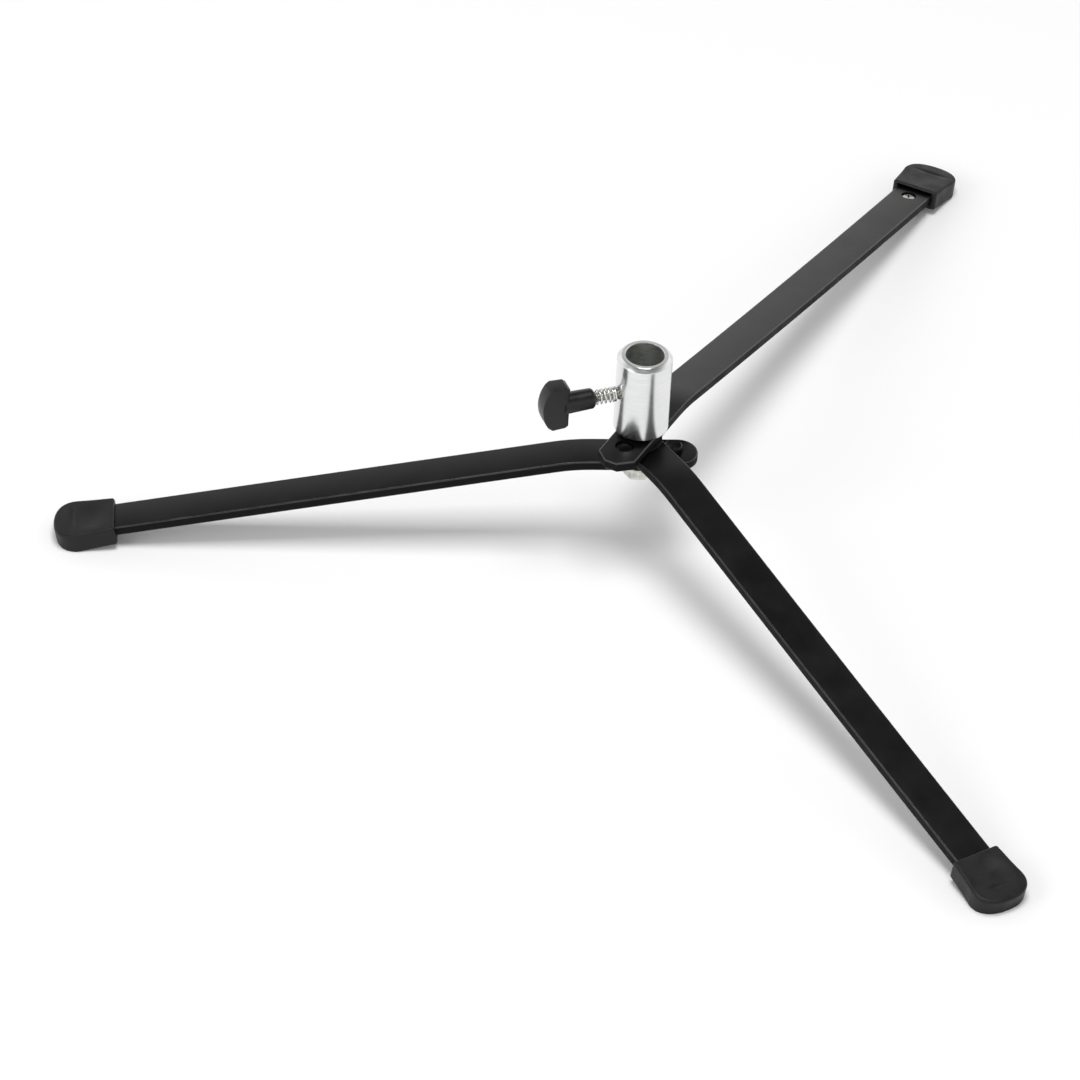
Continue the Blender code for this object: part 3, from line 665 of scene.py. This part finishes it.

# %% [markdown]
# A short pan-head screw holds each cap's bar end. Its head is a turned dome, and the cross is sunk into it by
# two crossed bars that narrow downward. Two plain boxes would give a slot with no sloped walls. The walls of
# the cross are coloured black as painted shade.

# %% Shape of a foot screw
DOME = 0.7 * MM                             # rise of the head's dome
CROSS_LENGTH, CROSS_WIDTH, CROSS_DEPTH = 4.2 * MM, 1.0 * MM, 1.0 * MM
CROSS_FOOT = 0.45                           # a blade's foot as a share of its top
CROSS_TURN_DEG = 20.0                       # the angle at which the screw happened to stop


def cross_blade(turn_deg, top):
    """One blade of the cross, narrower at its foot."""
    bm = bmesh.new()
    bmesh.ops.create_cube(bm, size=1.0)
    bmesh.ops.scale(bm, verts=bm.verts, vec=(CROSS_LENGTH, CROSS_WIDTH, 2 * CROSS_DEPTH))
    low = [v for v in bm.verts if v.co.z < 0]
    bmesh.ops.scale(bm, verts=low, vec=(CROSS_FOOT, CROSS_FOOT, 1.0))
    bmesh.ops.rotate(bm, verts=bm.verts, cent=(0.0, 0.0, 0.0),
                     matrix=Matrix.Rotation(math.radians(turn_deg + CROSS_TURN_DEG), 3, "Z"))
    bmesh.ops.translate(bm, verts=bm.verts, vec=(0.0, 0.0, top))
    return bm


def pan_head_screw(bar):
    """The screw and the two blades that sink its cross, all placed at the bar's screw hole."""
    head_top, head_low = -GAP, -GAP - SCREW_HEAD_H
    outline = [(0.0, -BAR_THICK), (SCREW_R, -BAR_THICK), (SCREW_R, head_low), (SCREW_HEAD_R, head_low),
               (SCREW_HEAD_R, head_top - DOME)]
    outline += [(SCREW_HEAD_R * math.cos(a), head_top - DOME + DOME * math.sin(a))
                for a in (math.radians(12 * i) for i in range(1, 8))]
    outline += [(0.0, head_top)]
    head = turned(outline, SMALL_STEPS)
    blades = [cross_blade(turn_deg, head_top) for turn_deg in (0.0, 90.0)]
    for shape in [head] + blades:
        bmesh.ops.transform(shape, verts=shape.verts, matrix=screw_frame(bar))
    return head, [(blade, "DIFFERENCE") for blade in blades]


print("head", 2 * SCREW_HEAD_R / MM, "mm across, cross", CROSS_LENGTH / MM, "mm long")

# %% Foot screws
# Faces inside this radius and between these depths, the walls of the cross, are coloured black as painted
# shade.
CROSS_SHADE_R, CROSS_SHADE_LOW, CROSS_SHADE_HIGH = 2.3 * MM, -1.5 * MM, -GAP - 0.25 * MM

for bar in BARS:
    head, blades = pan_head_screw(bar)
    screw = finished_piece(bar + "_cap_screw", head, zinc_plate, bar + "_foot_screw", 30.0,
                           blades)
    # The bars' black side coat goes on the walls of the cross as painted shade.
    screw.data.materials.append(sheared_side)
    to_screw = screw_frame(bar).inverted()
    for face in screw.data.polygons:
        spot = to_screw @ face.center
        if math.hypot(spot.x, spot.y) < CROSS_SHADE_R and CROSS_SHADE_LOW < spot.z < CROSS_SHADE_HIGH:
            face.material_index = 1

# %% [markdown]
# The rubber cap is a fat boot over the bar's end: a slow flare, a squarish nose, soft edges, and a sole
# ground flat where it meets the floor. Inside the boot the bar stops short of the nose, and the thin roof
# sinks a little over the bar and creases where the square end stops. The roof is cut into a fine net of
# cross cuts, so that crease and hollow are real shapes.

# %% Outline and net of a foot cap
CAP_MOUTH_W, CAP_TIP_W, CAP_H, CAP_ROUND = 21.5 * MM, 25.0 * MM, 9.0 * MM, 1.1 * MM
CAP_SQUARE_DEG = 40.0
NOSE, NOSE_STEPS = 10.0 * MM, 24
NOSE_POWER = 0.85                           # 1 would be a half ellipse, and less is squarer
NET = 0.8 * MM                              # width of a mesh in the net


def cap_plan():
    """Plan of the boot: mouth at x = 0, a slow flare and a squarish nose."""
    points = [(0.0, CAP_MOUTH_W / 2)]
    for step in range(NOSE_STEPS + 1):
        a = math.radians(90.0 - 180.0 * step / NOSE_STEPS)
        forward = abs(math.cos(a)) ** NOSE_POWER
        side = math.copysign(abs(math.sin(a)) ** NOSE_POWER, math.sin(a))
        points.append((CAP_LENGTH - NOSE + NOSE * forward, CAP_TIP_W / 2 * side))
    return points + [(0.0, -CAP_MOUTH_W / 2)]


def cut_in_net(bm, low):
    """Cut across all three directions, one mesh of the net apart."""
    spans = ((0.0, CAP_LENGTH), (-CAP_TIP_W / 2, CAP_TIP_W / 2), (low, low + CAP_H))
    for axis, (first, last) in enumerate(spans):
        normal = Vector((0.0, 0.0, 0.0))
        normal[axis] = 1.0
        step = first + NET
        while step < last - NET / 2:
            bmesh.ops.bisect_plane(bm, geom=bm.verts[:] + bm.edges[:] + bm.faces[:], plane_co=normal * step,
                                   plane_no=normal, dist=1e-6)
            step += NET


print("cap outline has", len(cap_plan()), "corners")

# %% Roof of a foot cap
ROOF_DEPTH = 2.2 * MM                       # the roof's shapes fade out over this depth
HOLLOW_DEPTH, HOLLOW_CENTRE = 0.95 * MM, 0.56 * SEATED
HOLLOW_HALF_LENGTH, HOLLOW_HALF_WIDTH = 0.48 * SEATED, 10.0 * MM
CREASE_DEPTH, CREASE_CENTRE = 0.55 * MM, SEATED + 0.2 * MM
CREASE_HALF_LENGTH, CREASE_HALF_WIDTH = 1.1 * MM, 11.0 * MM
CROWN_HEIGHT, CROWN_CENTRE = 0.14 * MM, CAP_LENGTH - 6.0 * MM
CROWN_HALF_LENGTH, CROWN_HALF_WIDTH = 5.5 * MM, 12.0 * MM
TUCK_DEPTH, TUCK_CENTRE, TUCK_HALF_LENGTH = 0.25 * MM, 0.45 * CAP_LENGTH, 0.40 * CAP_LENGTH


def smooth_bell(x, centre, half_width):
    """One at the centre, falling smoothly to zero at half_width away."""
    away = min(abs(x - centre) / half_width, 1.0)
    return (1 - away * away) ** 2


def rubber_boot(bar):
    """The boot in the cap's own frame, with the roof sunk and creased over the bar."""
    low = -BAR_THICK - GAP - BARS[bar]["cap_floor"]
    bm = plate([(x, y, low) for x, y in cap_plan()], (0.0, 0.0, CAP_H))
    round_edges(bm, CAP_SQUARE_DEG, CAP_ROUND)
    cut_in_net(bm, low)
    fade_start = low + CAP_H - ROOF_DEPTH
    for vert in bm.verts:
        x, y, z = vert.co
        share = max(0.0, (z - fade_start) / ROOF_DEPTH)
        hollow = HOLLOW_DEPTH * smooth_bell(x, HOLLOW_CENTRE, HOLLOW_HALF_LENGTH)
        hollow *= smooth_bell(y, 0.0, HOLLOW_HALF_WIDTH) * BARS[bar]["sunk"]
        crease = CREASE_DEPTH * smooth_bell(x, CREASE_CENTRE, CREASE_HALF_LENGTH)
        crease *= smooth_bell(y, 0.0, CREASE_HALF_WIDTH)
        crown = CROWN_HEIGHT * smooth_bell(x, CROWN_CENTRE, CROWN_HALF_LENGTH)
        crown *= smooth_bell(y, 0.0, CROWN_HALF_WIDTH)
        vert.co.z -= share * (hollow + crease - crown)
        # The sides are drawn in, and the pull dies out over the last millimetre before the middle.
        tuck = TUCK_DEPTH * smooth_bell(x, TUCK_CENTRE, TUCK_HALF_LENGTH)
        vert.co.y -= math.copysign(min(abs(y) / MM, 1.0) * tuck, y)
    return bm


print("roof sinks by", HOLLOW_DEPTH / MM, "mm at most and creases by", CREASE_DEPTH / MM, "mm")


# %% Foot caps
def place_boot(bar):
    """Tilt the boot with its bar, grind the sole flat and give the pocket's cutter."""
    where = bar_frame(bar, bar_end(bar)) @ Matrix.Translation((-BARS[bar]["in_cap"], 0.0, 0.0))
    bm = rubber_boot(bar)
    bmesh.ops.transform(bm, verts=bm.verts, matrix=where)
    sole = bmesh.ops.bisect_plane(bm, geom=bm.verts[:] + bm.edges[:] + bm.faces[:],
                                  plane_co=(0.0, 0.0, FLOOR_Z), plane_no=(0.0, 0.0, 1.0), clear_inner=True)
    rim = [e for e in sole["geom_cut"] if isinstance(e, bmesh.types.BMEdge)]
    bmesh.ops.holes_fill(bm, edges=rim)
    pocket = bmesh.new()
    bmesh.ops.create_cube(pocket, size=1.0)
    depth, room = BARS[bar]["in_cap"] + GAP, BARS[bar]["room"]
    tall = BAR_THICK + GAP + room
    bmesh.ops.scale(pocket, verts=pocket.verts, vec=(depth + 2 * PAST, BAR_WIDTH + 2 * GAP, tall))
    bmesh.ops.translate(pocket, verts=pocket.verts, vec=((depth - 2 * PAST) / 2, 0.0, room - tall / 2))
    bmesh.ops.transform(pocket, verts=pocket.verts, matrix=where)
    return bm, [(pocket, "DIFFERENCE")]


for bar in BARS:
    boot, pocket = place_boot(bar)
    finished_piece(bar + "_rubber_boot", boot, moulded_rubber, bar + "_foot_cap", 38.0, pocket)

# %% [markdown]
# Two stop pins are pressed into the bars beyond the pivot: the top bar's pin hangs down and the bottom bar's
# pin stands up, and each bears on the middle bar when the stand is open. A pin is turned, with a small
# chamfer and a shallow dish left by the press in each end.

# %% Stop pins
PIN_EDGE, DISH_DEPTH = 0.4 * MM, 0.25 * MM
DISH_R, DISH_RIM_R = 0.60 * STOP_R, 0.72 * STOP_R


def pressed_pin(low, high):
    """A pin with chamfered, slightly dished ends."""
    edge_r = STOP_R - PIN_EDGE
    outline = [(0.0, low + DISH_DEPTH), (DISH_R, low + DISH_DEPTH), (DISH_RIM_R, low), (edge_r, low),
               (STOP_R, low + PIN_EDGE), (STOP_R, high - PIN_EDGE), (edge_r, high), (DISH_RIM_R, high),
               (DISH_R, high - DISH_DEPTH), (0.0, high - DISH_DEPTH)]
    return turned(outline, SMALL_STEPS)


for bar in ("top", "bottom"):
    pin_low, pin_high = (corner.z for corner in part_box(bar + "_stop_pin"))
    pin = pressed_pin(pin_low, pin_high)
    carry_to_stop(pin, bar)
    finished_piece(bar + "_pressed_pin", pin, powder_coat, bar + "_stop_pin", 30.0)

# %% [markdown]
# The clamp screw is a threaded stud a little over 4 mm across. A thread is one V swept along a helix: spin
# turns it and lifts it at once with dvec, one pitch a turn, and each turn's edge meets the next, so the
# doubles merge into one skin.

# %% Threaded stud
STUD_R, STUD_TIP, STUD_END = 2.1 * MM, BORE_R + GAP, 32.0 * MM
PITCH, THREAD_DEPTH, THREAD_STEPS = 0.8 * MM, 0.45 * MM, 32


def threaded_rod(major, minor, low, high, pitch):
    """A helical V thread between two heights, closed at both ends."""
    bm = bmesh.new()
    flank = [bm.verts.new((minor, 0.0, low)), bm.verts.new((major, 0.0, low + pitch / 2)),
             bm.verts.new((minor, 0.0, low + pitch))]
    edges = [bm.edges.new(pair) for pair in zip(flank, flank[1:])]
    turns = int((high - low) / pitch) - 1
    bmesh.ops.spin(bm, geom=flank + edges, cent=(0.0, 0.0, 0.0), axis=(0.0, 0.0, 1.0),
                   dvec=(0.0, 0.0, pitch / THREAD_STEPS), angle=2 * math.pi * turns,
                   steps=THREAD_STEPS * turns, use_merge=False, use_duplicate=False)
    bmesh.ops.remove_doubles(bm, verts=bm.verts, dist=1e-6)
    bmesh.ops.holes_fill(bm, edges=[e for e in bm.edges if e.is_boundary], sides=0)
    return bm


stud = threaded_rod(STUD_R, STUD_R - THREAD_DEPTH, STUD_TIP, STUD_END, PITCH)
bmesh.ops.transform(stud, verts=stud.verts, matrix=clamp_frame)
finished_piece("clamp_threaded_stud", stud, zinc_plate, "clamp_stud", 20.0)

# %% [markdown]
# The knob is one moulding: a round sleeve that runs out into a T-shaped wing with an arched outer face. The
# sleeve is turned, the wing is an outline given its thickness and generous rounds, and the two are joined so
# that no face is left inside. A blind hole takes the stud.

# %% Wing of the thumb knob
WING_START, WING_END, WING_LONG, WING_WIDE, WING_DEEP = 34.2 * MM, 45.8 * MM, 21.4 * MM, 8.0 * MM, 7.8 * MM
WING_CORNER, WING_LEAN, WING_ROUND = 1.4 * MM, 0.3 * MM, 1.0 * MM

half = WING_LONG / 2
rise = WING_END - WING_START - WING_DEEP
crown_r = (half ** 2 + rise ** 2) / (2 * rise)
swing = math.degrees(math.asin((half - WING_CORNER) / crown_r))
arch = rounding((0.0, WING_END - crown_r), crown_r, 90.0 - swing, 90.0 + swing, 28)
outer_corner = WING_START + WING_DEEP - WING_CORNER / 2
wing_plan = [(WING_LEAN - half, WING_START + WING_CORNER), (WING_CORNER - half, WING_START),
             (half - WING_CORNER, WING_START), (half - WING_LEAN, WING_START + WING_CORNER),
             (half, outer_corner)] + arch + [(-half, outer_corner)]

wing = plate([(x, WING_WIDE / 2, z) for x, z in wing_plan], (0.0, -WING_WIDE, 0.0))
round_edges(wing, SQUARE_DEG, WING_ROUND)
print("wing's outer face is arched to a radius of", round(crown_r / MM, 1), "mm")

# %% Thumb knob
SLEEVE_START, SLEEVE_END, SLEEVE_ROUND = 22.2 * MM, 36.0 * MM, 1.6 * MM
SLEEVE_R_IN, SLEEVE_R_OUT = 4.4 * MM, 4.7 * MM      # at the spring's end and at the wing

nose_centre = (SLEEVE_R_IN - SLEEVE_ROUND, SLEEVE_START + SLEEVE_ROUND)
sleeve_profile = [(0.0, SLEEVE_START), (nose_centre[0] - FLAT, SLEEVE_START)]
sleeve_profile += rounding(nose_centre, SLEEVE_ROUND, -90.0, 0.0, 10)
sleeve_profile += [(SLEEVE_R_IN, nose_centre[1] + FLAT), (SLEEVE_R_OUT, SLEEVE_END), (0.0, SLEEVE_END)]
knob = turned(sleeve_profile)
stud_hole = plain_rod(STUD_R + GAP, SLEEVE_START - PAST, STUD_END + GAP)
for shape in (wing, knob, stud_hole):
    bmesh.ops.transform(shape, verts=shape.verts, matrix=clamp_frame)
finished_piece("clamp_thumb_knob", knob, knob_nylon, "clamp_knob", 14.0,
               [(wing, "UNION"), (stud_hole, "DIFFERENCE")])

# %% [markdown]
# The spring keeps the loose knob from rattling. It is one round wire, close wound for two turns against the
# socket and then open. A ring of points is spun with a small lift at each step: a low lift first, a high one
# after. On the stand its inner end stays on the socket and its outer end goes with the screw, so the coils
# close up when the knob is driven in and open when it is backed out; here it rides on no body and stays as
# placed.

# %% Clamp spring
SPRING_R, WIRE_R, WIRE_SIDES = 2.90 * MM, 0.42 * MM, 14
CLOSE_TURNS, CLOSE_PITCH, OPEN_TURNS = 2.0, 0.95 * MM, 3.75
COIL_STEPS = 40                             # steps in each turn

spring_start = WALL_R + GAP + WIRE_R
spring_finish = SLEEVE_START - GAP - WIRE_R
open_pitch = (spring_finish - spring_start - CLOSE_TURNS * CLOSE_PITCH) / OPEN_TURNS
coil = bmesh.new()
ring = bmesh.ops.create_circle(coil, cap_ends=False, segments=WIRE_SIDES, radius=WIRE_R)["verts"]
bmesh.ops.rotate(coil, verts=ring, cent=(0.0, 0.0, 0.0), matrix=Matrix.Rotation(math.radians(90), 3, "X"))
bmesh.ops.translate(coil, verts=ring, vec=(SPRING_R, 0.0, spring_start))
moving = coil.verts[:] + coil.edges[:]
for turns, pitch in ((CLOSE_TURNS, CLOSE_PITCH), (OPEN_TURNS, open_pitch)):
    steps = round(turns * COIL_STEPS)
    spun = bmesh.ops.spin(coil, geom=moving, cent=(0.0, 0.0, 0.0), axis=(0.0, 0.0, 1.0),
                          dvec=(0.0, 0.0, pitch / COIL_STEPS), angle=2 * math.pi * turns, steps=steps,
                          use_merge=False, use_duplicate=False)
    moving = spun["geom_last"]
bmesh.ops.holes_fill(coil, edges=[e for e in coil.edges if e.is_boundary], sides=0)
bmesh.ops.transform(coil, verts=coil.verts, matrix=clamp_frame)
spring = finished_piece("clamp_coil_spring", coil, drawn_wire, "clamp_spring", 40.0,
                        rides=False)
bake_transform(spring)
print("open coils", round(open_pitch / MM, 2), "mm apart")

# %% [markdown]
# The bolt and the washers are already right as CAD shapes, so they keep their meshes and only take a finish.

# %% Finishes for the pieces kept from the CAD
for node, finish in (("pivot_bolt", zinc_plate), ("head_washer", zinc_plate), ("socket_washer", washer_nylon),
                     ("upper_friction_washer", washer_nylon), ("lower_friction_washer", washer_nylon)):
    kept = frame["nodes"][node]
    for place in kept.material_slots:
        place.material = finish
    print(node, "is finished in", finish.name)
